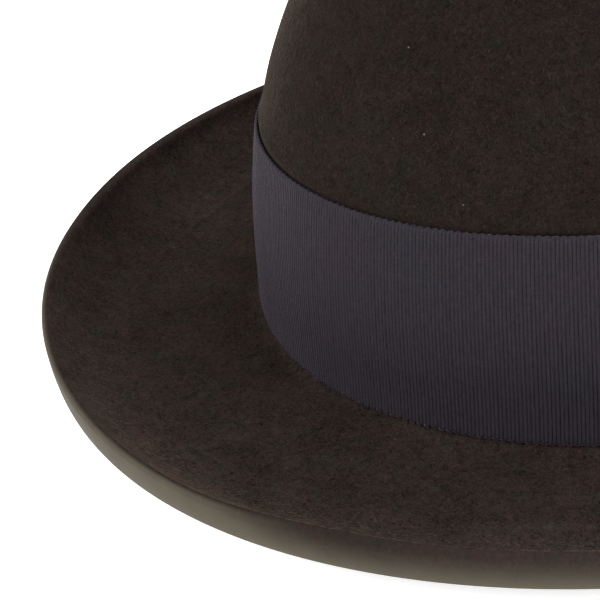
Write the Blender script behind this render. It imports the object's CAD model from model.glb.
import bpy
import math
import numpy as np
from mathutils import Vector, Matrix


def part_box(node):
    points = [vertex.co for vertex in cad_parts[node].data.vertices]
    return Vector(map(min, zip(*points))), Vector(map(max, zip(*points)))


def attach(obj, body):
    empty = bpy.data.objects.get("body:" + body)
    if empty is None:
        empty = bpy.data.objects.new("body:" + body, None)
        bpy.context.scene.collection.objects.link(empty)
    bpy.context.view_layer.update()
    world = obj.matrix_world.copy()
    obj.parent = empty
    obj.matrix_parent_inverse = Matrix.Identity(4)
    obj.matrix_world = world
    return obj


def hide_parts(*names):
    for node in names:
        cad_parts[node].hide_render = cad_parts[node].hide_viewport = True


# A stiff fur-felt bowler hat. Sizes below are millimetres, as in the CAD model;
# meshes are written in metres, in the CAD frame: +Z up, front towards -Y, the
# wearer's left and the bow towards +X.
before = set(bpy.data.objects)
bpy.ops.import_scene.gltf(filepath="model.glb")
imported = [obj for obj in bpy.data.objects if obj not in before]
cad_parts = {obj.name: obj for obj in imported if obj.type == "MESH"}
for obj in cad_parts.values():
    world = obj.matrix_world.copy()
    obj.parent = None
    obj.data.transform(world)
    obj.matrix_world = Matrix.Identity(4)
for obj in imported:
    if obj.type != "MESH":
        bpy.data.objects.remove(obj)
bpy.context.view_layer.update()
MM = 0.001
rng = np.random.default_rng(11)

T = 2.6
A, B, H = 87.5, 103.5, 127.5
PX, QX, PY, QY = 1.64, 0.35, 2.85, 0.42
WS, WF, BPOW = 47.6, 57.5, 2.07
X0, RISE, WAVE, DIP = 24.0, 13.4, 0.86, 0.6
ER, EL, EHIGH, LEAN = 1.1, 0.9, 7.8, 0.6
TOPZ = T + RISE
LOWZ = TOPZ - EHIGH
CX, CZ = WS - 2.4, TOPZ - 5.0
SLOPE = math.radians(52)
TIPX, TIPZ = WS - ER - ER * math.sin(SLOPE), TOPZ - ER + ER * math.cos(SLOPE)
POW = math.tan(SLOPE) * (TIPX - X0) / (TIPZ - T)


def smooth(e0, e1, x):
    k = np.clip((np.asarray(x, float) - e0) / (e1 - e0), 0, 1)
    return k * k * (3 - 2 * k)


def outer_ab(z):
    f = np.clip(np.asarray(z, float) / H, 0, 1)
    return A * (1 - f ** PX) ** QX, B * (1 - f ** PY) ** QY


def inner_ab(z):
    f = np.clip(np.asarray(z, float) / (H - T), 0, 1)
    return (A - T) * (1 - f ** PX) ** QX, (B - T) * (1 - f ** PY) ** QY


def end_distance(d):
    d = np.asarray(d, float)
    inner = WS - 12.0
    grow = WF - WS
    return np.where(d <= 0, d, np.where(d >= inner, d + grow, d + grow * d / inner))


def wobble(x, y, z, seed, scale):
    # a smooth, repeatable unevenness made of a few long waves, about -1 to 1
    r = np.random.default_rng(seed)
    out = 0.0
    for k in range(7):
        v = r.normal(size=3)
        v /= np.linalg.norm(v)
        w = (0.5 + 1.3 * r.random()) / scale
        out = out + math.sin(k * 1.7 + 0.3) * 0.0 + np.sin(
            2 * math.pi * w * (v[0] * x + v[1] * y + v[2] * z) + r.random() * 6.28)
    return out / 4.0


# ------------------------------------------------------------ mesh building
def add_object(name, verts, faces, attrs=None, uv=None, smooth_shade=True):
    me = bpy.data.meshes.new(name)
    verts = np.asarray(verts, float).reshape(-1, 3) * MM
    me.vertices.add(len(verts))
    me.vertices.foreach_set("co", verts.astype(np.float32).ravel())
    loops = np.concatenate([np.asarray(f, np.int64).ravel() for f in faces])
    sizes = np.concatenate([np.full(len(np.asarray(f)), np.asarray(f).shape[1]) for f in faces])
    starts = np.concatenate([[0], np.cumsum(sizes)[:-1]])
    me.loops.add(len(loops))
    me.loops.foreach_set("vertex_index", loops.astype(np.int32))
    me.polygons.add(len(sizes))
    me.polygons.foreach_set("loop_start", starts.astype(np.int32))
    me.polygons.foreach_set("use_smooth", np.full(len(sizes), smooth_shade))
    me.update(calc_edges=True)
    me.validate()
    for key, val in (attrs or {}).items():
        at = me.attributes.new(key, "FLOAT", "POINT")
        at.data.foreach_set("value", np.asarray(val, np.float32).ravel())
    if uv is not None:
        layer = me.uv_layers.new(name="UVMap")
        u = np.asarray(uv, np.float32).reshape(-1, 2)[loops]
        layer.data.foreach_set("uv", u.ravel())
    ob = bpy.data.objects.new(name, me)
    bpy.context.scene.collection.objects.link(ob)
    return ob


def grid_faces(nv, nu, close_u=False, close_v=False, base=0, flip=False):
    iv = np.arange(nv if close_v else nv - 1)
    iu = np.arange(nu if close_u else nu - 1)
    V0, U0 = np.meshgrid(iv, iu, indexing="ij")
    V1, U1 = (V0 + 1) % nv, (U0 + 1) % nu
    q = np.stack([V0 * nu + U0, V0 * nu + U1, V1 * nu + U1, V1 * nu + U0], -1).reshape(-1, 4)
    if flip:
        q = q[:, ::-1]
    return q + base


def grid_normals(S, close_u=False):
    if close_u:
        du = np.roll(S, -1, 1) - np.roll(S, 1, 1)
    else:
        du = np.gradient(S, axis=1)
    dv = np.gradient(S, axis=0)
    n = np.cross(du, dv)
    n /= np.maximum(np.linalg.norm(n, axis=-1, keepdims=True), 1e-9)
    return n


def thick_sheet(name, S, thick, front=None, back=None, close_u=False, attrs=None, uv=None,
                round_edge=True):
    # S is the middle surface [v][u]; front and back are extra heights of each
    # face. The free edges are rounded by drawing the last rows together.
    S = np.asarray(S, float)
    nv, nu, _ = S.shape
    n = grid_normals(S, close_u)
    half = np.full((nv, nu), thick / 2.0)
    if round_edge:
        half[0, :] *= 0.45
        half[-1, :] *= 0.45
        if not close_u:
            half[:, 0] *= 0.45
            half[:, -1] *= 0.45
    f = half + (0 if front is None else front)
    b = half + (0 if back is None else back)
    F = S + n * f[..., None]
    K = S - n * b[..., None]
    verts = np.concatenate([F.reshape(-1, 3), K.reshape(-1, 3)])
    off = nv * nu
    faces = [grid_faces(nv, nu, close_u), grid_faces(nv, nu, close_u, base=off, flip=True)]
    nu_e = nu if close_u else nu - 1
    u0 = np.arange(nu_e)
    u1 = (u0 + 1) % nu
    faces.append(np.stack([u1, u0, off + u0, off + u1], -1))
    lv = (nv - 1) * nu
    faces.append(np.stack([lv + u0, lv + u1, off + lv + u1, off + lv + u0], -1))
    if not close_u:
        v0 = np.arange(nv - 1) * nu
        v1 = v0 + nu
        faces.append(np.stack([v0, v1, off + v1, off + v0], -1))
        v0 = v0 + nu - 1
        v1 = v1 + nu - 1
        faces.append(np.stack([v1, v0, off + v0, off + v1], -1))
    at = {k: np.concatenate([np.asarray(v).ravel()] * 2) for k, v in (attrs or {}).items()}
    if uv is None:
        uu, vv = np.meshgrid(np.arange(nu) / max(nu - 1, 1), np.arange(nv) / max(nv - 1, 1))
        uv = np.stack([uu, vv], -1)
    uv2 = np.concatenate([uv.reshape(-1, 2)] * 2)
    return add_object(name, verts, faces, at, uv2)


def tube_mesh(path, radius, sides=10, closed=False, ripple=None):
    # returns verts and faces of a tube along path (n, 3); radius may vary
    P = np.asarray(path, float)
    n = len(P)
    if closed:
        t = np.roll(P, -1, 0) - np.roll(P, 1, 0)
    else:
        t = np.gradient(P, axis=0)
    t /= np.maximum(np.linalg.norm(t, axis=1, keepdims=True), 1e-9)
    ref = np.array([0.0, 0.0, 1.0])
    a = np.cross(t, ref)
    bad = np.linalg.norm(a, axis=1) < 0.2
    a[bad] = np.cross(t[bad], np.array([1.0, 0.0, 0.0]))
    a /= np.linalg.norm(a, axis=1, keepdims=True)
    # keep the frame from flipping along the path
    for i in range(1, n):
        if np.dot(a[i], a[i - 1]) < 0:
            a[i] = -a[i]
    b = np.cross(t, a)
    ang = 2 * math.pi * np.arange(sides) / sides
    r = np.broadcast_to(np.asarray(radius, float), (n,))[:, None] * np.ones((1, sides))
    if ripple is not None:
        r = r + ripple(np.arange(n)[:, None], ang[None, :])
    V = P[:, None, :] + r[..., None] * (np.cos(ang)[None, :, None] * a[:, None, :]
                                        + np.sin(ang)[None, :, None] * b[:, None, :])
    verts = V.reshape(-1, 3)
    faces = [grid_faces(n, sides, close_u=True, close_v=closed, flip=True)]
    if not closed:
        c0 = len(verts)
        verts = np.concatenate([verts, P[:1], P[-1:]])
        k = np.arange(sides)
        faces.append(np.stack([k, (k + 1) % sides, np.full(sides, c0)], -1))
        e = (n - 1) * sides
        faces.append(np.stack([e + (k + 1) % sides, e + k, np.full(sides, c0 + 1)], -1))
    return verts, [f[:, ::-1] for f in faces]


def merge_parts(name, parts, attrs=None):
    # parts: list of (verts, [faces])
    vs, tri, quad, base = [], [], [], 0
    for verts, faces in parts:
        vs.append(verts)
        for f in faces:
            f = np.asarray(f) + base
            (tri if f.shape[1] == 3 else quad).append(f)
        base += len(verts)
    faces = []
    if quad:
        faces.append(np.concatenate(quad))
    if tri:
        faces.append(np.concatenate(tri))
    return add_object(name, np.concatenate(vs), faces, attrs)


# ---------------------------------------------------------------- materials
def new_material(name):
    m = bpy.data.materials.new(name)
    m.use_nodes = True
    nt = m.node_tree
    nt.nodes.clear()
    out = nt.nodes.new("ShaderNodeOutputMaterial")
    p = nt.nodes.new("ShaderNodeBsdfPrincipled")
    nt.links.new(p.outputs["BSDF"], out.inputs["Surface"])
    return m, nt, p


class Nodes:
    def __init__(self, nt):
        self.nt = nt

    def link(self, a, b):
        self.nt.links.new(a, b)

    def coords(self, kind="Object"):
        return self.nt.nodes.new("ShaderNodeTexCoord").outputs[kind]

    def mapping(self, vec, scale=(1, 1, 1), loc=(0, 0, 0)):
        n = self.nt.nodes.new("ShaderNodeMapping")
        n.inputs["Scale"].default_value = scale
        n.inputs["Location"].default_value = loc
        self.link(vec, n.inputs["Vector"])
        return n.outputs["Vector"]

    def noise(self, vec, scale, detail=3, rough=0.5, distort=0.0):
        n = self.nt.nodes.new("ShaderNodeTexNoise")
        n.inputs["Scale"].default_value = scale
        n.inputs["Detail"].default_value = detail
        n.inputs["Roughness"].default_value = rough
        n.inputs["Distortion"].default_value = distort
        self.link(vec, n.inputs["Vector"])
        return n.outputs["Fac"]

    def voronoi(self, vec, scale, feature="F1", rand=1.0, out="Distance"):
        n = self.nt.nodes.new("ShaderNodeTexVoronoi")
        n.feature = feature
        n.inputs["Scale"].default_value = scale
        n.inputs["Randomness"].default_value = rand
        self.link(vec, n.inputs["Vector"])
        return n.outputs[out]

    def ramp(self, fac, stops):
        n = self.nt.nodes.new("ShaderNodeValToRGB")
        cr = n.color_ramp
        while len(cr.elements) < len(stops):
            cr.elements.new(0.5)
        for e, (pos, col) in zip(cr.elements, stops):
            e.position = pos
            e.color = (*col, 1) if hasattr(col, "__len__") else (col, col, col, 1)
        self.link(fac, n.inputs["Fac"])
        return n.outputs["Color"]

    def math(self, op, a, b=None, clamp=False):
        n = self.nt.nodes.new("ShaderNodeMath")
        n.operation = op
        n.use_clamp = clamp
        for k, v in enumerate((a, b)):
            if v is None:
                continue
            if isinstance(v, (int, float)):
                n.inputs[k].default_value = v
            else:
                self.link(v, n.inputs[k])
        return n.outputs[0]

    def maprange(self, v, a, b, c, d):
        n = self.nt.nodes.new("ShaderNodeMapRange")
        n.inputs["From Min"].default_value = a
        n.inputs["From Max"].default_value = b
        n.inputs["To Min"].default_value = c
        n.inputs["To Max"].default_value = d
        self.link(v, n.inputs["Value"])
        return n.outputs["Result"]

    def mix(self, fac, a, b, mode="MIX"):
        n = self.nt.nodes.new("ShaderNodeMix")
        n.data_type = "RGBA"
        n.blend_type = mode
        for sock, v in ((n.inputs["Factor"], fac), (n.inputs["A"], a), (n.inputs["B"], b)):
            pass
        socks = [s for s in n.inputs]
        fs = next(s for s in socks if s.name == "Factor" and s.type == "VALUE")
        as_ = next(s for s in socks if s.name == "A" and s.type == "RGBA")
        bs = next(s for s in socks if s.name == "B" and s.type == "RGBA")
        for s, v in ((fs, fac), (as_, a), (bs, b)):
            if isinstance(v, (int, float)):
                s.default_value = v if s is fs else (v, v, v, 1)
            elif isinstance(v, (tuple, list)):
                s.default_value = (*v, 1)
            else:
                self.link(v, s)
        return next(o for o in n.outputs if o.type == "RGBA")

    def attr(self, name):
        n = self.nt.nodes.new("ShaderNodeAttribute")
        n.attribute_name = name
        return n.outputs["Fac"]

    def bump(self, height, strength, dist, normal=None):
        n = self.nt.nodes.new("ShaderNodeBump")
        n.inputs["Strength"].default_value = strength
        n.inputs["Distance"].default_value = dist
        self.link(height, n.inputs["Height"])
        if normal is not None:
            self.link(normal, n.inputs["Normal"])
        return n.outputs["Normal"]

    def separate(self, vec):
        n = self.nt.nodes.new("ShaderNodeSeparateXYZ")
        self.link(vec, n.inputs[0])
        return n.outputs


def felt_material():
    m, nt, p = new_material("velour_felt")
    N = Nodes(nt)
    co = N.coords()
    # mottling from 12 mm patches down to the nap's 0.3 mm clumps
    n1 = N.noise(co, 70, 2, 0.5, 0.4)
    n2 = N.noise(co, 260, 2, 0.5, 0.7)
    n3 = N.noise(co, 620, 2, 0.5, 0.9)
    n4 = N.noise(co, 1350, 2, 0.55, 0.8)
    n5 = N.noise(co, 3000, 2, 0.6)
    tone = 1.0
    for n, k in ((n1, 0.60), (n2, 0.55), (n3, 0.85), (n4, 1.60), (n5, 2.2)):
        tone = N.math("ADD", N.math("MULTIPLY", N.math("SUBTRACT", n, 0.5), k), tone)
    more = N.maprange(N.separate(co)[2], 0.010, 0.045, 1.20, 0.95)
    pressed = N.attr("pressed")
    more = N.math("MULTIPLY", more, N.maprange(pressed, 0, 1, 1.0, 0.35))
    tone = N.math("ADD", N.math("MULTIPLY", N.math("SUBTRACT", tone, 1.0), more), 1.0, clamp=False)
    hue = N.ramp(N.noise(co, 160, 4, 0.65, 0.6),
                 [(0.36, (0.0181, 0.0112, 0.0098)), (0.5, (0.0160, 0.0111, 0.0094)),
                  (0.64, (0.0140, 0.0117, 0.0091))])
    # tone by height only: the crown's felt is set darker than the brim's, by estimate
    side = N.maprange(N.separate(co)[2], 0.006, 0.045, 1.0, 0.665)
    side = N.math("MULTIPLY", side, N.maprange(N.separate(co)[2], 0.066, 0.098, 1.0, 0.88))
    side = N.math("MULTIPLY", side, N.maprange(N.attr("curl"), 0, 1, 1.0, 1.20))
    side = N.math("MULTIPLY", side, N.attr("lay"))
    col = N.mix(1.0, hue, N.math("MULTIPLY", tone, side), "MULTIPLY")
    # fine pale hair tips, lying in short streaks
    streak = N.noise(N.mapping(co, (1, 1, 0.35)), 2100, 2, 0.5, 1.6)
    tips = N.ramp(streak, [(0.60, 0.0), (0.76, 1.0)])
    col = N.mix(N.math("MULTIPLY", tips, 0.30), col, (0.062, 0.050, 0.041))
    # sparse lint
    lint_d = N.voronoi(co, 105)
    lint_r = N.separate(N.voronoi(co, 105, out="Color"))[0]
    lint = N.math("MULTIPLY", N.math("LESS_THAN", lint_d, 0.023), N.math("GREATER_THAN", lint_r, 0.70))
    col = N.mix(N.math("MULTIPLY", lint, 0.75), col, (0.12, 0.104, 0.085))
    # the pressed outer face of the rim is smoother and paler
    rim = N.attr("rim")
    rim_tone = N.maprange(N.noise(co, 150, 4, 0.6), 0.3, 0.7, 0.90, 1.10)
    rim_col = N.mix(1.0, (0.0640, 0.0545, 0.0375), rim_tone, "MULTIPLY")
    col = N.mix(rim, col, rim_col)
    N.link(col, p.inputs["Base Color"])
    N.link(N.maprange(rim, 0, 1, 1.0, 0.6), p.inputs["Roughness"])
    N.link(N.maprange(rim, 0, 1, 0.05, 0.15), p.inputs["Specular IOR Level"])
    sheen = N.math("MULTIPLY", tone, 0.12)
    sheen = N.math("MULTIPLY", sheen, N.maprange(N.math("MAXIMUM", rim, pressed), 0, 1, 1.0, 0.12))
    N.link(sheen, p.inputs["Sheen Weight"])
    p.inputs["Sheen Roughness"].default_value = 0.24
    p.inputs["Sheen Tint"].default_value = (1.0, 0.72, 0.50, 1)
    h = N.math("ADD", N.math("MULTIPLY", n4, 0.9), N.math("MULTIPLY", n3, 0.8))
    h = N.math("ADD", h, N.math("MULTIPLY", n5, 0.5))
    h = N.math("MULTIPLY", h, N.maprange(N.math("MAXIMUM", rim, pressed), 0, 1, 1.0, 0.10))
    N.link(N.bump(h, 0.6, 0.0004), p.inputs["Normal"])
    return m


def grosgrain_material(name="grosgrain"):
    m, nt, p = new_material(name)
    N = Nodes(nt)
    co = N.coords()
    uvc = N.coords("UV")
    rib = N.attr("rib")
    # each rib a little different along the ribbon, fine warp threads across it
    per = N.noise(N.mapping(uvc, (1, 0.02, 1)), 700, 1, 0.5)
    slow = N.noise(co, 75, 3, 0.55, 0.4)
    mott = N.noise(co, 700, 3, 0.6)
    thread = N.noise(N.mapping(uvc, (700, 120, 1)), 1.0, 2, 0.6)
    base = N.ramp(slow, [(0.36, (0.0200, 0.0156, 0.0203)), (0.5, (0.0192, 0.0156, 0.0200)),
                         (0.64, (0.0180, 0.0155, 0.0206))])
    tone = N.math("ADD", N.math("MULTIPLY", N.math("SUBTRACT", per, 0.5), 0.45),
                  N.math("MULTIPLY", N.math("SUBTRACT", thread, 0.5), 1.15))
    tone = N.math("ADD", tone, N.math("MULTIPLY", N.math("SUBTRACT", mott, 0.5), 0.7))
    tone = N.math("ADD", tone, N.maprange(rib, 0, 1, 0.60, 1.17))
    # tone by height only, a little darker towards the upper edge, by estimate
    tone = N.math("MULTIPLY", tone, N.maprange(N.separate(co)[2], 0.008, 0.052, 1.16, 0.93))
    col = N.mix(1.0, base, tone, "MULTIPLY")
    sel = N.attr("selvedge")
    col = N.mix(N.math("MULTIPLY", sel, 0.30), col, (0.016, 0.014, 0.022))
    N.link(col, p.inputs["Base Color"])
    p.inputs["Roughness"].default_value = 0.75
    p.inputs["Specular IOR Level"].default_value = 0.10
    N.link(N.maprange(sel, 0, 0.7, 0.40, 0.10), p.inputs["Sheen Weight"])
    p.inputs["Sheen Roughness"].default_value = 0.20
    p.inputs["Sheen Tint"].default_value = (1.0, 0.88, 0.98, 1)
    h = N.math("ADD", N.math("MULTIPLY", thread, 0.7), N.math("MULTIPLY", N.noise(co, 3800, 2, 0.6), 0.5))
    N.link(N.bump(h, 0.4, 0.00015), p.inputs["Normal"])
    return m


def leather_material(name="leather", dark=1.0):
    m, nt, p = new_material(name)
    N = Nodes(nt)
    co = N.coords()
    blot = N.noise(co, 35, 4, 0.6, 0.5)
    grain = N.voronoi(co, 900, "DISTANCE_TO_EDGE")
    grain2 = N.voronoi(co, 1700, "DISTANCE_TO_EDGE")
    col = N.ramp(blot, [(0.25, (0.085 * dark, 0.036 * dark, 0.016 * dark)),
                        (0.55, (0.135 * dark, 0.062 * dark, 0.028 * dark)),
                        (0.8, (0.175 * dark, 0.085 * dark, 0.040 * dark))])
    line = N.ramp(grain, [(0.0, 0.72), (0.12, 1.0)])
    col = N.mix(1.0, col, line, "MULTIPLY")
    edge = N.attr("edge")
    col = N.mix(N.math("MULTIPLY", edge, 0.6), col, (0.035, 0.016, 0.009))
    N.link(col, p.inputs["Base Color"])
    N.link(N.maprange(blot, 0.2, 0.8, 0.5, 0.36), p.inputs["Roughness"])
    p.inputs["Specular IOR Level"].default_value = 0.5
    h = N.math("ADD", N.ramp(grain, [(0.0, 0.0), (0.25, 1.0)]),
               N.math("MULTIPLY", N.ramp(grain2, [(0.0, 0.0), (0.3, 1.0)]), 0.5))
    N.link(N.bump(h, 0.35, 0.00018), p.inputs["Normal"])
    return m


def satin_material(name, c1, c2):
    m, nt, p = new_material(name)
    N = Nodes(nt)
    co = N.coords()
    uvc = N.coords("UV")
    weave = N.noise(N.mapping(uvc, (900, 60, 1)), 1.0, 2, 0.5)
    slow = N.noise(co, 28, 3, 0.5, 0.3)
    fine = N.noise(co, 2600, 2, 0.6)
    col = N.ramp(slow, [(0.3, c1), (0.7, c2)])
    tone = N.math("ADD", N.math("MULTIPLY", N.math("SUBTRACT", weave, 0.5), 0.25),
                  N.math("MULTIPLY", N.math("SUBTRACT", fine, 0.5), 0.25))
    col = N.mix(1.0, col, N.math("ADD", tone, 1.0), "MULTIPLY")
    N.link(col, p.inputs["Base Color"])
    N.link(N.maprange(weave, 0.3, 0.7, 0.28, 0.40), p.inputs["Roughness"])
    p.inputs["Specular IOR Level"].default_value = 0.65
    p.inputs["Anisotropic"].default_value = 0.5
    p.inputs["Sheen Weight"].default_value = 0.3
    p.inputs["Sheen Roughness"].default_value = 0.25
    N.link(N.bump(N.math("ADD", weave, fine), 0.18, 0.0001), p.inputs["Normal"])
    return m


def thread_material(name, colour):
    m, nt, p = new_material(name)
    N = Nodes(nt)
    co = N.coords()
    ply = N.noise(co, 3000, 2, 0.6)
    slow = N.noise(co, 160, 2, 0.5)
    tone = N.math("ADD", N.math("MULTIPLY", ply, 0.7), N.math("MULTIPLY", slow, 0.5))
    col = N.mix(1.0, colour, N.math("ADD", tone, 0.4), "MULTIPLY")
    N.link(col, p.inputs["Base Color"])
    p.inputs["Roughness"].default_value = 0.6
    p.inputs["Sheen Weight"].default_value = 0.3
    N.link(N.bump(ply, 0.4, 0.0001), p.inputs["Normal"])
    return m


def metal_material(name, c1, c2, rough):
    m, nt, p = new_material(name)
    N = Nodes(nt)
    co = N.coords()
    patch = N.noise(co, 220, 4, 0.6)
    scratch = N.noise(N.mapping(co, (1, 1, 9)), 900, 2, 0.6)
    N.link(N.ramp(patch, [(0.35, c1), (0.65, c2)]), p.inputs["Base Color"])
    p.inputs["Metallic"].default_value = 1.0
    N.link(N.maprange(scratch, 0.3, 0.7, rough - 0.08, rough + 0.12), p.inputs["Roughness"])
    N.link(N.bump(scratch, 0.15, 0.00005), p.inputs["Normal"])
    return m


def card_material():
    m, nt, p = new_material("blank_card")
    N = Nodes(nt)
    co = N.coords()
    fibre = N.noise(co, 1400, 4, 0.7, 0.5)
    stain = N.noise(co, 120, 3, 0.5)
    col = N.mix(1.0, N.ramp(stain, [(0.3, (0.60, 0.53, 0.41)), (0.7, (0.72, 0.66, 0.55))]),
                N.maprange(fibre, 0.2, 0.8, 0.9, 1.06), "MULTIPLY")
    N.link(col, p.inputs["Base Color"])
    p.inputs["Roughness"].default_value = 0.85
    N.link(N.bump(fibre, 0.25, 0.00008), p.inputs["Normal"])
    return m


FELT = felt_material()
GROS = grosgrain_material()
LEATHER = leather_material()
REED = leather_material("reed_leather", 0.62)
SATIN = satin_material("lining_satin", (0.150, 0.088, 0.040), (0.215, 0.135, 0.066))
PIPING = satin_material("piping_satin", (0.085, 0.048, 0.024), (0.12, 0.07, 0.036))
BOW_SATIN = satin_material("bow_satin", (0.030, 0.020, 0.017), (0.045, 0.031, 0.026))
DARK_THREAD = thread_material("dark_thread", (0.022, 0.017, 0.020))
TAN_THREAD = thread_material("tan_thread", (0.34, 0.25, 0.15))
STEEL = metal_material("drawn_steel", (0.42, 0.42, 0.43), (0.52, 0.52, 0.53), 0.32)
BRASS = metal_material("joiner_brass", (0.50, 0.36, 0.16), (0.62, 0.46, 0.22), 0.34)
CARD = card_material()


def finish_piece(ob, mat, node):
    ob.data.materials.clear()
    ob.data.materials.append(mat)
    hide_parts(*(node if isinstance(node, (list, tuple)) else [node]))
    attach(ob, "root")


# ---------------------------------------------------------------- felt body
def upper(x):
    x = np.asarray(x, float)
    k = np.clip((x - X0) / (TIPX - X0), 0, None)
    return T + (TIPZ - T) * k ** POW


def upper_slope(x):
    return np.arctan((upper(x + 0.01) - upper(x - 0.01)) / 0.02)


def wave_at(x):
    return np.clip((np.asarray(x, float) - X0) / (TIPX - X0), 0, 1) ** 1.5


def rim_lift(th):
    return WAVE * np.cos(2 * th) - DIP * np.cos(4 * th)


def felt_body():
    NT = 640
    th = 2 * math.pi * np.arange(NT) / NT
    c, s = np.cos(th), np.sin(th)
    rows, rim_rows, curl_rows, press_rows, lay_rows = [], [], [], [], []
    # the curl starts nearer the crown at the sides than at front and back
    start_d = 22.8 + 5.4 * smooth(0.62, 0.95, np.abs(s))

    def nap_lay(d):
        # the curl is a little paler along both sides than at front and back, the
        # same on all four quarters of the brim; the amount is an estimate
        return 1 + smooth(0.60, 0.80, np.abs(c)) * (0.10 * smooth(-2, 2, d - start_d)
                                                   + 0.14 * smooth(34, 40, d))

    def brim_row(d, z, wave, rim=0.0, press=0.0):
        d = np.broadcast_to(np.asarray(d, float), (NT,))
        z = np.broadcast_to(np.asarray(z, float), (NT,))
        n = 2.0 + (BPOW - 2.0) * np.clip(d / WS, 0, 1)
        x = (A + d) * np.sign(c) * np.abs(c) ** (2 / n)
        y = (B + end_distance(d)) * np.sign(s) * np.abs(s) ** (2 / n)
        zz = z + wave * rim_lift(th)
        mask = smooth(16, 40, d)
        zz = zz + mask * 0.12 * wobble(x, y, 0 * x, 5, 210.0)
        upside = 1.0 if z.mean() > T * 0.99 else 0.0
        zz = zz + upside * 0.16 * np.exp(-((d - start_d) / 1.0) ** 2)
        rows.append(np.stack([x, y, zz], -1))
        rim_rows.append(np.broadcast_to(np.asarray(rim, float), (NT,)))
        line = 0.5 * np.exp(-((d - start_d - 0.2) / 0.7) ** 2)
        curl_rows.append((smooth(-3.0, 5.0, d - start_d) + line) * upside)
        press_rows.append(np.full(NT, float(press)))
        lay_rows.append(nap_lay(d) if upside else np.ones(NT))

    def crown_row(z, off=0.0):
        a, b = outer_ab(z)
        x, y = (a + off) * c, (b + off) * s
        zz = np.full(NT, T + z)
        w = 0.28 * wobble(x, y, zz, 9, 120.0) * smooth(58, 75, z)
        nx, ny = c * 0.9, s * 0.9
        rows.append(np.stack([x + w * nx, y + w * ny, zz + w * 0.3], -1))
        rim_rows.append(np.zeros(NT))
        curl_rows.append(np.zeros(NT))
        press_rows.append(np.zeros(NT))
        lay_rows.append(np.ones(NT))

    # crown, from the top down to the break
    z_top = []
    for r in np.linspace(0.012, 0.62, 44):
        z_top.append(H * (1 - r ** (1 / QX)) ** (1 / PX))
    z_low = z_top[-1]
    zs = list(z_top)
    zs += list(np.arange(z_low - 1.3, 58.0, -1.3))
    zs += [57.0, 56.2, 55.5, 54.8, 54.2, 53.7, 53.3, 53.0, 52.7, 52.4, 52.1, 51.7, 51.0, 49.5]
    zs += list(np.arange(46.0, 4.0, -4.0)) + [3.0]
    for z in zs:
        # the band draws the felt in a little at its upper edge
        off = -0.25 * math.exp(-((z - 52.1) / 0.6) ** 2) + 0.45 * math.exp(-((z - 54.0) / 1.9) ** 2)
        crown_row(z, off)
    # the break: a small fillet from crown to brim
    rf = 3.0
    for k in range(1, 6):
        al = k / 5.0 * math.pi / 2
        z = rf * (1 - math.sin(al))
        d = rf * (1 - math.cos(al))
        brim_row(d - (A - outer_ab(z)[0]), T + z, 0.0)
    # upper face of the brim, with a slight crease where the curl starts
    for d in np.concatenate([np.arange(4.5, 21.0, 1.65), np.arange(21.5, 27.0, 0.5),
                             np.arange(27.0, 43.0, 1.0)]):
        z = float(upper(d))
        brim_row(d, z, float(wave_at(d)))
    # the rim's upper corner: crisp at front and back, softer at the sides
    crisp = smooth(0.80, 0.95, np.abs(s))
    er = ER * crisp + 2.2 * (1 - crisp)
    zc = TOPZ - ER * crisp - 1.90 * (1 - crisp)
    xc = WS - er
    tx, tz = xc - er * math.sin(SLOPE), zc + er * math.cos(SLOPE)
    x43, z43, w43 = 43.0, float(upper(43.0)), float(wave_at(43.0))
    rise43 = math.tan(float(upper_slope(43.0)))
    for f in (0.34, 0.67):
        # ease from the common upper face into this angle's own corner
        h00, h10 = 2 * f ** 3 - 3 * f ** 2 + 1, f ** 3 - 2 * f ** 2 + f
        h01, h11 = -2 * f ** 3 + 3 * f ** 2, f ** 3 - f ** 2
        span = tx - x43
        z = h00 * z43 + h10 * span * rise43 + h01 * tz + h11 * span * math.tan(SLOPE)
        brim_row(x43 + span * f, z, w43 + (1 - w43) * f)
    for k in range(15):
        al = (math.pi / 2 + SLOPE) * (1 - k / 14.0)
        d, z = xc + er * math.cos(al), zc + er * math.sin(al)
        start = smooth(math.radians(108), math.radians(45), al)
        brim_row(d, z, 1.0, start * (0.72 * crisp) + 0.22 * (1 - crisp)
                 * smooth(math.radians(60), 0.0, al), float(smooth(math.radians(130), math.radians(85), al)))
    # its upright outer face, very slightly rounded, and its lower corner
    for f in np.linspace(0.08, 0.92, 12):
        z = (zc) * (1 - f) + (LOWZ + EL) * f
        brim_row(WS - LEAN * f + 0.10 * math.sin(math.pi * f), z, 1.0,
                 crisp * (0.72 + 0.2 * f) + (1 - crisp) * (0.22 + 0.66 * f), 1.0)
    for k in range(7):
        al = -math.pi / 2 * k / 6.0
        brim_row(WS - LEAN - EL + EL * math.cos(al), LOWZ + EL + EL * math.sin(al), 1.0,
                 crisp * 0.95 + (1 - crisp) * 0.92, 1.0)
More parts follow.
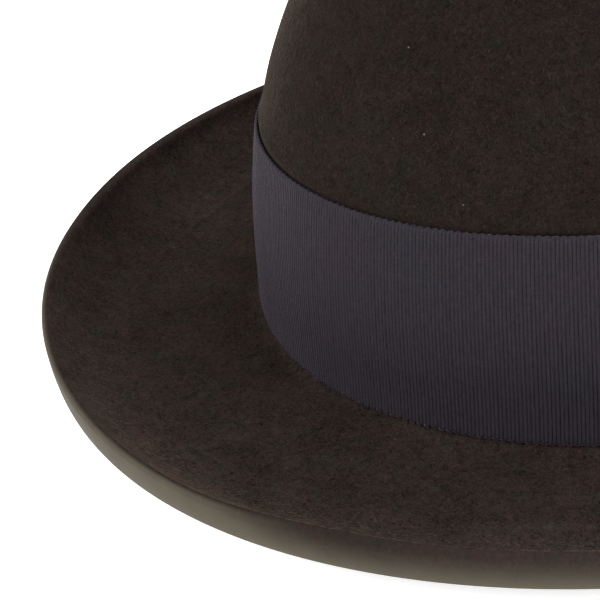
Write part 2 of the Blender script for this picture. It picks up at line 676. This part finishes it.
    # the turned-under flap, its cut edge and the plain underside
    xf = WS - 9.5 - 2.0
    al = float(upper_slope(xf))
    fx, fz = xf + 1.75 * T * math.sin(al), float(upper(xf)) - 1.75 * T * math.cos(al)
    ex, ez = WS - LEAN - EL, LOWZ
    for f in np.linspace(0.10, 0.97, 9):
        brim_row(ex + (fx - ex) * f, ez + (fz - ez) * f - 0.30 * math.sin(math.pi * f),
                 1.0 + (float(wave_at(xf)) - 1.0) * f, 0.8 * (1 - f))
    for plies in (1.45, 1.06):
        al = float(upper_slope(xf - 0.25))
        off = T * plies
        brim_row(xf - 0.25 + off * math.sin(al), float(upper(xf - 0.25)) - off * math.cos(al),
                 float(wave_at(xf)))
    for x in np.linspace(xf - 1.0, X0 + 0.5, 12):
        al = float(upper_slope(x))
        off = T * 0.97
        brim_row(x + off * math.sin(al), max(float(upper(x)) - off * math.cos(al), 0.0),
                 float(wave_at(x)))
    for d in np.linspace(X0 - 1.0, 1.5, 9):
        brim_row(d, 0.0, 0.0)
    # the inner break and the crown's inside, up to the top
    rb = 2.6
    for k in range(0, 5):
        al = k / 4.0 * math.pi / 2
        brim_row(-T + rb * (1 - math.sin(al)), rb * (1 - math.cos(al)), 0.0)

    def inner_row(z):
        a, b = inner_ab(z)
        rows.append(np.stack([a * c, b * s, np.full(NT, T + z)], -1))
        rim_rows.append(np.zeros(NT))
        curl_rows.append(np.zeros(NT))
        press_rows.append(np.zeros(NT))
        lay_rows.append(np.ones(NT))

    for z in list(np.arange(1.0, z_low - 3, 3.0)):
        inner_row(z)
    for r in np.linspace(0.60, 0.03, 26):
        inner_row((H - T) * (1 - r ** (1 / QX)) ** (1 / PX))
    P = np.stack(rows)
    R = np.stack(rim_rows)
    nv = len(P)
    verts = np.concatenate([P.reshape(-1, 3), [[0, 0, T + H]], [[0, 0, H]]])
    rim = np.concatenate([R.ravel(), [0, 0]])
    q = grid_faces(nv, NT, close_u=True, flip=True)
    k = np.arange(NT)
    top = np.stack([(k + 1) % NT, np.full(NT, nv * NT), k], -1)
    e = (nv - 1) * NT
    bot = np.stack([e + k, np.full(NT, nv * NT + 1), e + (k + 1) % NT], -1)
    # the tunnel for the wire: a closed tube facing inwards
    m = 240
    tt = 2 * math.pi * np.arange(m) / m
    n = BPOW
    px_ = (A + CX) * np.sign(np.cos(tt)) * np.abs(np.cos(tt)) ** (2 / n)
    py_ = (B + CX + WF - WS) * np.sign(np.sin(tt)) * np.abs(np.sin(tt)) ** (2 / n)
    path = np.stack([px_, py_, CZ + rim_lift(tt)], -1)
    rad = 1.02 + 0.5 * (np.abs(px_) < 9.8) * (py_ > 0)
    tv, tf = tube_mesh(path, rad, 12, closed=True)
    base = len(verts)
    verts = np.concatenate([verts, tv])
    rim = np.concatenate([rim, np.zeros(len(tv))])
    curl = np.concatenate([np.stack(curl_rows).ravel(), np.zeros(2 + len(tv))])
    quads, tris = [q, tf[0][:, ::-1] + base], [top, bot]
    pad = len(verts) - nv * NT
    press = np.concatenate([np.stack(press_rows).ravel(), np.zeros(pad)])
    lay = np.concatenate([np.stack(lay_rows).ravel(), np.ones(pad)])
    ob = add_object("felt_hood", verts, [np.concatenate(quads), np.concatenate(tris)],
                    {"rim": rim, "curl": curl, "pressed": press, "lay": lay})
    finish_piece(ob, FELT, "felt_body")
    return ob


felt_body()


# ------------------------------------------------------------------ ribbons
PITCH = 0.888
PER = 6


def rib_height(phase):
    # rounded cord with a narrow valley, 0 to 1
    f = np.mod(phase, 1.0)
    return np.sqrt(np.clip(1 - (2 * f - 1) ** 2, 0, 1)) ** 0.8


def on_crown(y, z, off):
    # a point off the crown's outside near the wearer's left, from y and height
    a, b = outer_ab(z)
    return np.stack([(a + off) * np.sqrt(np.clip(1 - (y / (b + off)) ** 2, 0, 1)), y, T + z], -1)


def band_piece():
    low, high = 2.0, 52.0
    # angles evenly spaced along the ribbon at its middle
    a, b = outer_ab(26.0)
    fine = np.linspace(0, 2 * math.pi, 20001)
    ds = np.hypot(a * np.diff(np.cos(fine)), b * np.diff(np.sin(fine)))
    arc = np.concatenate([[0], np.cumsum(ds)])
    total = arc[-1]
    ribs = int(round((total - 1.0) / PITCH))
    pos = 0.5 + (total - 1.0) * np.arange(ribs * PER + 1) / (ribs * PER)
    th = np.interp(pos, arc, fine)
    phase = np.arange(ribs * PER + 1) / PER
    rib = rib_height(phase)
    jitter = np.repeat(rng.normal(0, 1, ribs + 1), PER)[:len(phase)]
    nu = len(th)
    # rows: inside low, outside rows with a selvedge at both edges, inside high
    vrow = [0.0, 0.0, 0.25, 0.6, 1.0, 1.3, 1.8, 3.5, 8, 14, 20, 25, 30, 36, 42, 46.5, 48.2, 48.7, 49.0,
            49.4, 49.75, 50.0, 50.0]
    rows, at_rib, at_sel, at_v = [], [], [], []
    c, s = np.cos(th), np.sin(th)
    lean = 0.22 * wobble(100 * c, 100 * s, 0 * c, 21, 150.0)
    wav = 0.22 * wobble(100 * c, 100 * s, 0 * c, 22, 90.0)
    for i, v in enumerate(vrow):
        edge = min(v, 50.0 - v)
        pair = 0.5 - 0.5 * np.cos(math.pi * phase)
        inner = i in (0, len(vrow) - 1)
        z = low + v
        e = np.full(nu, 1.0)
        if inner:
            off = np.full(nu, 0.22)
            zz = low + (0.12 if i == 0 else 49.88)
            r = 0 * rib
            sel = 1.0
        else:
            body = min(1.0, max(0.0, (edge - 0.35) / 0.5))
            r = rib * 0.22 * body + pair * 0.20 * (1 - body)
            selv = (1 - body) * (0.35 + 0.65 * pair)
            off = 0.78 + r + 0.02 * jitter
            if edge < 0.5:
                off = off - 0.22 * (1 - edge / 0.5)
            zz = z
            sel = selv
        flare = 0.10 * smooth(40, 50, v) + 0.12 * smooth(8, 0, v)
        off = off + (flare + 0.12 * lean)
        scal = (pair - 0.4) * 0.24 * (1 if v > 25 else -1) if edge < 0.5 else 0.0
        zt = np.clip(zz, 0, H) + wav * (1.0 if v > 25 else 0.5) + scal
        a1, b1 = outer_ab(np.clip(zz, 0, H))
        rows.append(np.stack([(a1 + off) * c, (b1 + off) * s, T + zt], -1))
        # the cords' contrast is the same all the way round
        at_rib.append(0.55 + (rib - 0.55) * 0.80 if not inner else 0 * rib)
        at_sel.append(np.full(nu, 1.0) * sel)
        at_v.append(np.full(nu, v))
    P = np.stack(rows)
    nv = len(P)
    uu = np.broadcast_to(pos[None, :] / 1000.0 / (PITCH / 1000) / 685.0, (nv, nu))
    vv = np.stack(at_v) / 50.0
    q = grid_faces(nv, nu, close_u=False, close_v=True)
    # end caps across the cut ends
    ends = []
    for col in (0, nu - 1):
        idx = np.arange(nv) * nu + col
        half = nv // 2
        for j in range(half - 1):
            a_, b_ = idx[j], idx[j + 1]
            d_, c_ = idx[nv - 1 - j], idx[nv - 2 - j]
            quad = [a_, b_, c_, d_]
            ends.append(quad if col == 0 else quad[::-1])
        if nv % 2:
            a_, b_, c_ = idx[half - 1], idx[half], idx[half + 1]
            ends.append([a_, b_, c_, c_] if col == 0 else [c_, c_, b_, a_])
    quads = [f for f in ends if len(set(f)) == 4]
    tris = [list(dict.fromkeys(f)) for f in ends if len(set(f)) == 3]
    faces = [np.concatenate([q, np.array(quads)])]
    if tris:
        faces.append(np.array(tris))
    ob = add_object("band_ribbon", P.reshape(-1, 3), faces,
                    {"rib": np.stack(at_rib), "selvedge": np.stack(at_sel)},
                    np.stack([uu, vv], -1))
    finish_piece(ob, GROS, "ribbon_band")


band_piece()


def ribbon_sheet(name, y, z, off, along, thick=0.55, rib_axis="u", node=None, edge_axis="v"):
    # y, z, off: arrays [v][u] in crown coordinates; along: length along the
    # ribbon in mm, [v][u], which sets the ribs
    S = on_crown(y, z, off)
    rib = rib_height(along / PITCH)
    front = 0.13 * rib
    nv, nu = rib.shape
    v = np.linspace(0, 1, nv)[:, None] * np.ones((1, nu))
    u = np.linspace(0, 1, nu)[None, :] * np.ones((nv, 1))
    across = v if edge_axis == "v" else u
    sel = (np.minimum(across, 1 - across) < 0.022).astype(float)
    uv = np.stack([along / (PITCH * 685.0), across], -1)
    return thick_sheet(name, S, thick, front, front, attrs={"rib": rib, "selvedge": sel}, uv=uv)


def bow_tails():
    nu = int(68 / PITCH) * PER
    y = np.linspace(-34, 34, nu)
    z = np.linspace(3.6, 50.4, 30)
    Y, Z = np.meshgrid(y, z)
    # the ends lift a touch and are cut slightly slanting
    slant = 1.6 * (Z - 27) / 23.5
    Y2 = Y + np.sign(Y) * smooth(0.6, 1.0, np.abs(Y) / 34) * slant * 0.8 * np.where(Y > 0, 1, -1) * np.sign(Y)
    off = 1.62 + 0.35 * smooth(24, 34, np.abs(Y)) + 0.10 * np.sin(Z / 7.0 + Y / 9)
    ob = ribbon_sheet("bow_under_layer", Y2, Z, off, Y + 34, 0.5)
    finish_piece(ob, GROS, "bow_tails")


def bow_loops():
    # one folded strip: from the knot out along the back, round the fold and
    # back along the front, for each side; both sides meet under the knot
    parts = []
    half_len = 31.0
    zc = 27.0
    for side in (-1, 1):
        u = np.linspace(0, 1, 360)
        back_len, fold_r = half_len - 1.3, 1.0
        total = 2 * back_len + math.pi * fold_r
        dist = u * total
        y, off = np.zeros_like(u), np.zeros_like(u)
        for i, d in enumerate(dist):
            if d < back_len:
                y[i] = d
                off[i] = 2.55
            elif d < back_len + math.pi * fold_r:
                al = (d - back_len) / fold_r
                y[i] = back_len + fold_r * math.sin(al)
                off[i] = 2.55 + fold_r * (1 - math.cos(al))
            else:
                y[i] = back_len - (d - back_len - math.pi * fold_r)
                off[i] = 2.55 + 2 * fold_r
        out = np.clip(y / half_len, 0, 1)
        front = smooth(back_len, back_len + math.pi * fold_r, dist)
        v = np.linspace(-1, 1, 34)
        U, Vv = np.meshgrid(np.arange(len(u)), v)
        o, fr = out[U], front[U]
        pinch = 23.4 * (1 - 0.17 * (1 - smooth(0.0, 0.75, o)))
        Z = zc + Vv * pinch
        # soft pleats that die out towards the fold, and a little fullness
        pleat = (1 - smooth(0.1, 0.95, o)) * (0.38 * np.cos(Vv * math.pi * 2.6 + 0.4 * side))
        full = 0.75 * np.sin(np.pi * np.clip(o, 0, 1)) ** 0.8 * (0.75 + 0.25 * np.cos(Vv * 1.5))
        OFF = off[U] + fr * (pleat + full - 0.30 * (1 - smooth(0, 0.3, o))) + 0.05 * np.sin(Vv * 5 + side)
        Y = side * (y[U] + 0.25)
        along = dist[U] + (0 if side > 0 else 0.3)
        parts.append((Y, Z, OFF, along, side))
    obs = []
    for Y, Z, OFF, along, side in parts:
        if side < 0:
            Y, Z, OFF, along = Y[:, ::-1], Z[:, ::-1], OFF[:, ::-1], along[:, ::-1]
        obs.append(ribbon_sheet("bow_loop_%s" % ("a" if side < 0 else "b"), Y, Z, OFF, along, 0.5))
    bpy.ops.object.select_all(action="DESELECT")
    for o in obs:
        o.select_set(True)
    bpy.context.view_layer.objects.active = obs[0]
    bpy.ops.object.join()
    ob = obs[0]
    ob.name = "bow_folded_loops"
    finish_piece(ob, GROS, "bow_loops")


def bow_knot():
    # wraps over the loops: up behind, over the top edge, down the front
    zc, hz = 27.0, 21.6
    path = []
    for k in np.linspace(-1, 1, 60):
        path.append((zc + k * (hz - 1.2), 5.75 + 0.35 * (1 - k * k) ** 0.5))
    top = []
    for al in np.linspace(0, math.pi, 14)[1:]:
        top.append((zc + (hz - 1.2) + 1.6 * math.sin(al), 5.75 - 1.75 * (1 - math.cos(al))))
    bottom = [(2 * zc - z, o) for z, o in top[::-1]]
    line = np.array(bottom + path + top)
    seg = np.concatenate([[0], np.cumsum(np.hypot(*np.diff(line, axis=0).T))])
    n = int(seg[-1] / PITCH) * PER
    dist = np.linspace(0, seg[-1], n)
    zz, oo = np.interp(dist, seg, line[:, 0]), np.interp(dist, seg, line[:, 1])
    w = np.linspace(-1, 1, 26)
    U, Wv = np.meshgrid(np.arange(n), w)
    waist = 7.2 * (1 - 0.07 * np.cos(np.clip((zz[U] - zc) / hz, -1, 1) * math.pi / 2))
    Y = Wv * waist
    crease = 0.22 * np.cos(Wv * math.pi * 2.0) * 0.6
    OFF = oo[U] + crease - 0.25 * np.abs(Wv) ** 3
    S = on_crown(Y, zz[U], OFF)
    along = dist[U]
    rib = rib_height(along / PITCH)
    sel = (np.abs(Wv) > 0.93).astype(float)
    uv = np.stack([along / (PITCH * 685.0), (Wv + 1) / 2], -1)
    ob = thick_sheet("bow_centre_wrap", S[:, ::-1], 0.5, 0.13 * rib[:, ::-1], 0.1 * rib[:, ::-1],
                     attrs={"rib": rib[:, ::-1], "selvedge": sel[:, ::-1]}, uv=uv[:, ::-1])
    finish_piece(ob, GROS, "bow_knot")


bow_tails()
bow_loops()
bow_knot()


# ------------------------------------------------------------------- tacks
def stitch_mesh(p, q, rad, normal, sag=0.25, twist=3.0):
    # a short thread that dives into the cloth at both ends
    p, q, normal = np.asarray(p, float), np.asarray(q, float), np.asarray(normal, float)
    k = np.linspace(0, 1, 15)
    path = p[None] + (q - p)[None] * k[:, None]
    lift = (np.sin(np.pi * k) ** 0.45 - 0.75) * sag * 2
    path = path + normal[None] * lift[:, None]
    r = rad * (0.72 + 0.28 * np.sin(np.pi * k))
    return tube_mesh(path, r, 10, ripple=lambda i, a: 0.09 * rad * np.cos(2 * a + i * twist))


def tacks(name, node, spots):
    parts = []
    for p, q, nrm in spots:
        parts.append(stitch_mesh(p, q, 0.22, nrm, 0.22))
    ob = merge_parts(name, parts)
    finish_piece(ob, DARK_THREAD, node)


def crown_pt(sign, y, z, off):
    p = on_crown(np.array(float(y)), np.array(float(z)), off)
    return np.array([p[0] * sign, p[1], p[2]])


def radial(p):
    n = np.array([p[0] / A ** 2, p[1] / B ** 2, 0.0])
    return n / np.linalg.norm(n)


spots = []
for sign, y in ((1, -52), (1, 52), (-1, -60), (-1, 0), (-1, 60)):
    for z in (3.6, 50.4):
        p, q = crown_pt(sign, y - 1.2, z, 1.12), crown_pt(sign, y + 1.2, z, 1.12)
        if z > 40:
            p[:2] *= 1 + 0.35 / np.linalg.norm(p[:2])
            q[:2] *= 1 + 0.35 / np.linalg.norm(q[:2])
        spots.append((p, q, radial(p)))
tacks("band_thread_tacks", "band_tacks", spots)
spots = []
for y in (-32.3, 32.3):
    for z in (7.0, 47.0):
        p, q = crown_pt(1, y, z - 1.2, 2.35), crown_pt(1, y, z + 1.2, 2.35)
        spots.append((p, q, radial(p)))
tacks("bow_thread_tacks", "bow_tacks", spots)


# --------------------------------------------------- sweatband and its trim
def inner_point(th, z, off):
    a, b = inner_ab(np.clip(z, 0, None))
    return np.stack([(a - off) * np.cos(th), (b - off) * np.sin(th), T + z], -1)


S_LOW = 0.2
GAP = 0.25 / 98.0


def sweat_angles(n):
    return np.linspace(math.pi / 2 + GAP, math.pi / 2 + 2 * math.pi - GAP, n)


def sweat_off(th, v):
    wav = wobble(100 * np.cos(th), 100 * np.sin(th), 0 * th, 31, 130.0)
    return 0.95 + 1.9 * v + 0.35 * wav * v + 0.12 * np.sin(9 * th) * v ** 2


def sweatband():
    n = 900
    th = sweat_angles(n)
    v = np.concatenate([[0, 0.006, 0.015], np.linspace(0.03, 0.97, 34), [0.982, 0.993, 1.0]])
    TH, Vv = np.meshgrid(th, v)
    Z = S_LOW + 38.0 * Vv
    off = sweat_off(TH, Vv)
    S = inner_point(TH, Z, off)
    # a pressed line above the stitching and one below the free edge
    face = -0.10 * np.exp(-((Vv * 38 - 4.6) / 0.35) ** 2) - 0.12 * np.exp(-((Vv * 38 - 35.2) / 0.4) ** 2)
    edge = smooth(0.965, 1.0, Vv) + smooth(0.02, 0.0, Vv)
    edge = np.maximum(edge, (np.abs(np.abs(TH - math.pi * 1.5) - math.pi) < 0.008) * 0.9)
    uv = np.stack([(TH - TH.min()) * 0.092, Vv * 0.038], -1)
    ob = thick_sheet("leather_sweatband", S[:, ::-1], 0.9, None, None, attrs={"edge": edge[:, ::-1]},
                     uv=uv[:, ::-1])
    # pressed lines: move the inner face only, which is the one that shows
    co = np.zeros(len(ob.data.vertices) * 3, np.float32)
    ob.data.vertices.foreach_get("co", co)
    co = co.reshape(-1, 3)
    m = n * len(v)
    cen = np.array([0.0, 0.0])
    rad = co[:, :2] - cen
    r = np.linalg.norm(rad, axis=1, keepdims=True)
    dip = np.concatenate([face[:, ::-1].ravel(), face[:, ::-1].ravel()]) * MM
    a_in = np.linalg.norm(co[:m, :2], axis=1).mean() < np.linalg.norm(co[m:, :2], axis=1).mean()
    mask = np.zeros(2 * m)
    mask[(slice(0, m) if a_in else slice(m, 2 * m))] = 1
    co[:, :2] -= rad / r * (dip * mask)[:, None]
    ob.data.vertices.foreach_set("co", co.ravel())
    ob.data.update()
    finish_piece(ob, LEATHER, "sweatband")


def reed():
    th = sweat_angles(720)
    P = np.stack([(A - T - 1.1) * np.cos(th), (B - T - 1.1) * np.sin(th),
                  1.30 + 0.05 * np.sin(th * 40)], -1)
    v, f = tube_mesh(P, 0.95, 14)
    ob = merge_parts("piped_reed", [(v, f)], {"edge": np.zeros(len(v))})
    finish_piece(ob, REED, "sweatband_reed")


def stitching():
    n = 132
    parts = []
    th0 = np.linspace(math.pi / 2 + 0.02, math.pi / 2 + 2 * math.pi - 0.02, n)
    step = th0[1] - th0[0]
    for i, t0 in enumerate(th0):
        t1 = t0 + step * 0.76
        z0 = 2.45 + rng.normal(0, 0.05)
        z1 = z0 + 0.35 + rng.normal(0, 0.05)
        v = (z0 - S_LOW) / 38.0
        o0 = float(sweat_off(np.array(t0), v)) + 0.58
        p = inner_point(np.array(t0), z0, o0)
        q = inner_point(np.array(t1), z1, o0)
        parts.append(stitch_mesh(p, q, 0.27, -radial(p), 0.24))
    ob = merge_parts("sweatband_thread_row", parts)
    finish_piece(ob, TAN_THREAD, "sweatband_stitching")


def back_seam():
    pts = []
    count = 12
    for k in range(count + 1):
        f = 0.42 + 0.52 * k / count
        x = 2.0 if k % 2 else -2.0
        z = S_LOW + 38.0 * f
        off = 0.95 + 1.9 * f + 0.45 + 0.28
        a, b = inner_ab(z)
        y = (b - off) * math.sqrt(1 - (x / (a - off)) ** 2)
        pts.append((x, y, T + z))
    pts = np.array(pts)
    parts = []
    for p, q in zip(pts[:-1], pts[1:]):
        parts.append(stitch_mesh(p, q, 0.26, (0, -1, 0), 0.16))
    ob = merge_parts("sweatband_zigzag", parts)
    finish_piece(ob, TAN_THREAD, "sweatband_seam")


def small_bow():
    # a narrow satin bow: two flattened loops and a knot, just in front of the leather
    cz_, parts = 15.7, []
    yb = float(inner_point(np.array(math.pi / 2), 13.0, 2.5)[1]) - 0.35
    objs = []
    for side in (-1, 1):
        u = np.linspace(0, 1, 70)
        L = 10.4
        dist = u * (2 * L + 2.2)
        y = np.where(dist < L, dist, np.where(dist < L + 2.2, L + 0.7 * np.sin((dist - L) / 2.2 * math.pi),
                                              L - (dist - L - 2.2)))
        depth = np.where(dist < L, 0.0, np.where(dist < L + 2.2, 0.7 * (1 - np.cos((dist - L) / 2.2 * math.pi)), 1.4))
        v = np.linspace(-1, 1, 20)
        U, Vv = np.meshgrid(np.arange(70), v)
        o = np.clip(y[U] / L, 0, 1)
        fr = smooth(L, L + 2.2, dist[U])
        hgt = 2.5 + 2.3 * smooth(0.05, 0.9, o)
        Z = cz_ + Vv * hgt + 0.5 * side * 0
        fold = fr * 0.30 * (1 - o) * np.cos(Vv * 7)
        D = depth[U] * (0.35 + 0.65 * np.sin(np.pi * np.clip(o, 0.0, 1.0)) ** 0.5) + fold + 0.3
        S = np.stack([side * (y[U] + 0.4), yb - D, Z], -1)
        if side > 0:
            S = S[:, ::-1]
        uv = np.stack([dist[U] * 0.001, Vv * 0.005], -1)
        objs.append(thick_sheet("sb%d" % side, S, 0.22, uv=uv))
    v = np.linspace(-1, 1, 18)
    al = np.linspace(0, 2 * math.pi, 48)
    U, Vv = np.meshgrid(al, v)
    S = np.stack([Vv * 1.9 * (1 - 0.12 * np.cos(U) ** 2), yb - 1.15 - 0.95 * np.cos(U),
                  cz_ + 3.0 * np.sin(U)], -1)
    objs.append(thick_sheet("sbk", S[:, :-1], 0.2, close_u=True))
    bpy.ops.object.select_all(action="DESELECT")
    for o in objs:
        o.select_set(True)
    bpy.context.view_layer.objects.active = objs[0]
    bpy.ops.object.join()
    objs[0].name = "sweatband_small_bow"
    finish_piece(objs[0], BOW_SATIN, "sweatband_bow")


sweatband()
reed()
stitching()
back_seam()
small_bow()


# ---------------------------------------------------------------- lining
L_LOW, L_SEAM = 30.0, 98.0


def gathers(th, seed):
    # uneven gathers round the hat: about 96 folds, 0 to 1
    r = np.random.default_rng(seed)
    t = np.mod(th, 2 * math.pi)
    edges = np.cumsum(0.6 + r.random(96))
    edges = np.concatenate([[0], edges]) / edges[-1] * 2 * math.pi
    amp = 0.55 + 0.45 * r.random(97)
    amp[-1] = amp[0]
    k = np.clip(np.searchsorted(edges, t, side="right") - 1, 0, 95)
    f = (t - edges[k]) / (edges[k + 1] - edges[k])
    am = amp[k] * (1 - f) + amp[k + 1] * f
    return am * np.sin(np.pi * f) ** 2


def lining_side():
    n = 1536
    th = 2 * math.pi * np.arange(n) / n
    v = np.linspace(0, 1, 44) ** 0.9
    TH, Vv = np.meshgrid(th, v)
    Z = L_LOW + (L_SEAM - L_LOW) * Vv
    base = np.interp(Vv, [0, 0.16, 0.45, 0.75, 1.0], [0.98, 1.03, 1.63, 2.43, 3.23])
    g = gathers(TH, 41)
    g2 = gathers(TH + 0.013, 43)
    amp = 1.25 * smooth(0.35, 1.0, Vv) ** 1.3 * (1 - 0.25 * smooth(0.97, 1.0, Vv))
    slow = 0.35 * wobble(80 * np.cos(TH), 80 * np.sin(TH), Z, 45, 60.0) * smooth(0.12, 0.4, Vv)
    mixg = g * smooth(0.3, 0.8, Vv) + g2 * (1 - smooth(0.3, 0.8, Vv))
    off = base + amp * mixg + slow + 0.10
    S = inner_point(TH, Z, off)
    uv = np.stack([TH * 0.09, Vv * 0.07], -1)
    ob = thick_sheet("satin_lining_side", S, 0.28, close_u=True, uv=uv)
    finish_piece(ob, SATIN, "lining_side")


def seam_ab():
    a, b = inner_ab(L_SEAM)
    return float(a) - 3.0, float(b) - 3.0


def lining_piping():
    a, b = seam_ab()
    m = 900
    th = 2 * math.pi * np.arange(m) / m
    P = np.stack([(a - 1.35) * np.cos(th), (b - 1.35) * np.sin(th),
                  np.full(m, T + L_SEAM + 1.05)], -1)
    v, f = tube_mesh(P, 0.78, 12, closed=True,
                     ripple=lambda i, al: 0.10 * np.cos(2 * al + i * 2 * math.pi * 3 / 12.5))
    ob = merge_parts("piping_cord", [(v, f)])
    finish_piece(ob, PIPING, "lining_piping")


def lining_tip():
    a, b = seam_ab()
    a, b = a - 1.2, b - 1.2
    rise = np.array([(0.0, 1.0), (0.3, 0.93), (0.55, 0.8), (0.75, 0.62), (0.9, 0.4), (0.97, 0.22), (1.0, 0.0)])
    r = 1 - np.linspace(0, 1, 48) ** 1.15
    r = np.clip(r, 0.004, 1)
    lift = np.interp(r[::-1], rise[::-1, 1], rise[::-1, 0])[::-1]
    # a smooth dome through the same heights
    lift = 1 - r ** 2.6
    n = 720
    th = 2 * math.pi * np.arange(n) / n
    TH, Rr = np.meshgrid(th, r)
    Lf = np.broadcast_to(lift[:, None], TH.shape)
    pucker = 0.30 * gathers(TH, 47) * smooth(0.86, 1.0, Rr)
    slow = 0.5 * wobble(Rr * 60 * np.cos(TH), Rr * 70 * np.sin(TH), 0 * TH, 49, 55.0) * smooth(1.0, 0.8, Rr)
    Z = T + L_SEAM + 2.45 + 14.2 * Lf - pucker - slow * 0.6 - 0.3
    S = np.stack([a * 0.985 * Rr * np.cos(TH), b * 0.985 * Rr * np.sin(TH), Z], -1)
    uv = np.stack([S[..., 0] * 0.001, S[..., 1] * 0.001], -1)
    ob = thick_sheet("satin_lining_tip", S, 0.28, close_u=True, uv=uv)
    # close the tiny hole at the middle
    me = ob.data
    nv = len(r)
    bm_verts = [v.co.copy() for v in me.vertices]
    off = nv * n
    import bmesh
    bm = bmesh.new()
    bm.from_mesh(me)
    bm.verts.ensure_lookup_table()
    inner_a = [bm.verts[(nv - 1) * n + k] for k in range(n)]
    inner_b = [bm.verts[off + (nv - 1) * n + k] for k in range(n)]
    for ring in (inner_a, inner_b):
        mid = sum((v.co for v in ring), Vector()) / n
        for v in ring:
            v.co = mid
    bmesh.ops.remove_doubles(bm, verts=inner_a, dist=1e-5)
    bm.verts.ensure_lookup_table()
    alive = [v for v in inner_b if v.is_valid]
    bmesh.ops.remove_doubles(bm, verts=alive, dist=1e-5)
    loose = [f for f in bm.faces if f.calc_area() < 1e-14]
    bmesh.ops.dissolve_degenerate(bm, edges=bm.edges, dist=1e-7)
    bmesh.ops.delete(bm, geom=[e for e in bm.edges if not e.link_faces], context="EDGES")
    bm.normal_update()
    for f in bm.faces:
        f.smooth = True
    bm.to_mesh(me)
    bm.free()
    finish_piece(ob, SATIN, "lining_tip")


lining_side()
lining_piping()
lining_tip()


def size_label():
    lo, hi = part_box("size_label")
    x0, x1 = lo.x / MM, hi.x / MM
    z0, z1 = lo.z / MM - T, hi.z / MM - T
    xs = np.linspace(x0 + 0.1, x1 - 0.1, 40)
    zs = np.linspace(z0 + 0.1, z1 - 0.1, 50)
    X, Z = np.meshgrid(xs, zs)
    # rounded corners: squeeze the rows near the ends
    k = np.clip(1.6 - np.minimum(Z - zs[0], zs[-1] - Z), 0, 1.6)
    inset = 1.6 - np.sqrt(np.clip(1.6 ** 2 - k ** 2, 0, None))
    mid = (x0 + x1) / 2
    X = mid + (X - mid) * (1 - inset / ((x1 - x0) / 2))
    f = (Z - zs[0]) / (zs[-1] - zs[0])
    off = 1.74 + 0.68 * f + 0.3 * smooth(0.55, 1.0, f) ** 2
    a, b = inner_ab(Z)
    Y = (b - off) * np.sqrt(1 - (X / (a - off)) ** 2)
    S = np.stack([X, Y, T + Z], -1)
    ob = thick_sheet("blank_size_label", S[:, ::-1], 0.22)
    finish_piece(ob, CARD, "size_label")


size_label()

# ----------------------------------------- the CAD pieces that stay as they are
for node, mat in (("brim_wire", STEEL), ("wire_joiner", BRASS)):
    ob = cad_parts[node]
    ob.data.materials.clear()
    ob.data.materials.append(mat)

# ------------------------------------------------------------------- stage
me = bpy.data.meshes.new("floor")
k = 40.0
me.from_pydata([(-k, -k, 0), (k, -k, 0), (k, k, 0), (-k, k, 0)], [], [(0, 1, 2, 3)])
floor = bpy.data.objects.new("floor", me)
floor.location.z = -0.0002
bpy.context.scene.collection.objects.link(floor)
fm, fnt, fp = new_material("pale_floor")
fp.inputs["Base Color"].default_value = (0.90, 0.90, 0.90, 1)
fp.inputs["Roughness"].default_value = 0.8
fp.inputs["Emission Color"].default_value = (1, 1, 1, 1)
fp.inputs["Emission Strength"].default_value = 0.60
me.materials.append(fm)

world = bpy.data.worlds.new("studio")
bpy.context.scene.world = world
world.use_nodes = True
bg = world.node_tree.nodes["Background"]
bg.inputs["Color"].default_value = (1.0, 1.0, 1.0, 1)
bg.inputs["Strength"].default_value = 0.77


def area(name, loc, target, size, power, colour=(1, 1, 1)):
    li = bpy.data.lights.new(name, "AREA")
    li.shape = "DISK"
    li.size = size
    li.energy = power
    li.color = colour
    ob = bpy.data.objects.new(name, li)
    ob.location = loc
    d = Vector(target) - Vector(loc)
    ob.rotation_euler = d.to_track_quat("-Z", "Y").to_euler()
    bpy.context.scene.collection.objects.link(ob)


area("softbox_left", (-0.253, -1.435, 0.775), (0, 0, 0.04), 1.0, 24)
area("softbox_right", (1.222, 0.793, 0.775), (0, 0, 0.04), 1.0, 25)
area("softbox_back", (-0.164, 0.932, 1.352), (0, 0, 0.04), 1.0, 16)

bpy.context.scene.view_settings.view_transform = "Standard"
bpy.context.scene.view_settings.look = "None"

# ------------------------------------------------------------------ camera
CAM = dict(D=0.417886, az=53.52, el=30.399, pan=12.51, tilt=-2.574, roll=-1.318, f=1492.704)


def camera():
    az, el = math.radians(CAM["az"]), math.radians(CAM["el"])
    back = Vector((math.sin(az) * math.cos(el), -math.cos(az) * math.cos(el), math.sin(el)))
    loc = back * CAM["D"] + Vector((0, 0, T * MM))
    fw = -back
    right = fw.cross(Vector((0, 0, 1))).normalized()
    up = right.cross(fw)

    def rot(v, axis, deg):
        return Matrix.Rotation(math.radians(deg), 3, axis) @ v

    fw2, right2 = rot(fw, up, CAM["pan"]), rot(right, up, CAM["pan"])
    fw3, up3 = rot(fw2, right2, CAM["tilt"]), rot(up, right2, CAM["tilt"])
    r4, u4 = rot(right2, fw3, CAM["roll"]), rot(up3, fw3, CAM["roll"])
    m = Matrix((r4, u4, -fw3)).transposed().to_4x4()
    m.translation = loc
    cam = bpy.data.cameras.new("camera")
    cam.sensor_width = 36
    cam.lens = CAM["f"] * 36 / 600
    cam.clip_start, cam.clip_end = 0.01, 50
    ob = bpy.data.objects.new("camera", cam)
    ob.matrix_world = m
    bpy.context.scene.collection.objects.link(ob)
    bpy.context.scene.camera = ob


camera()
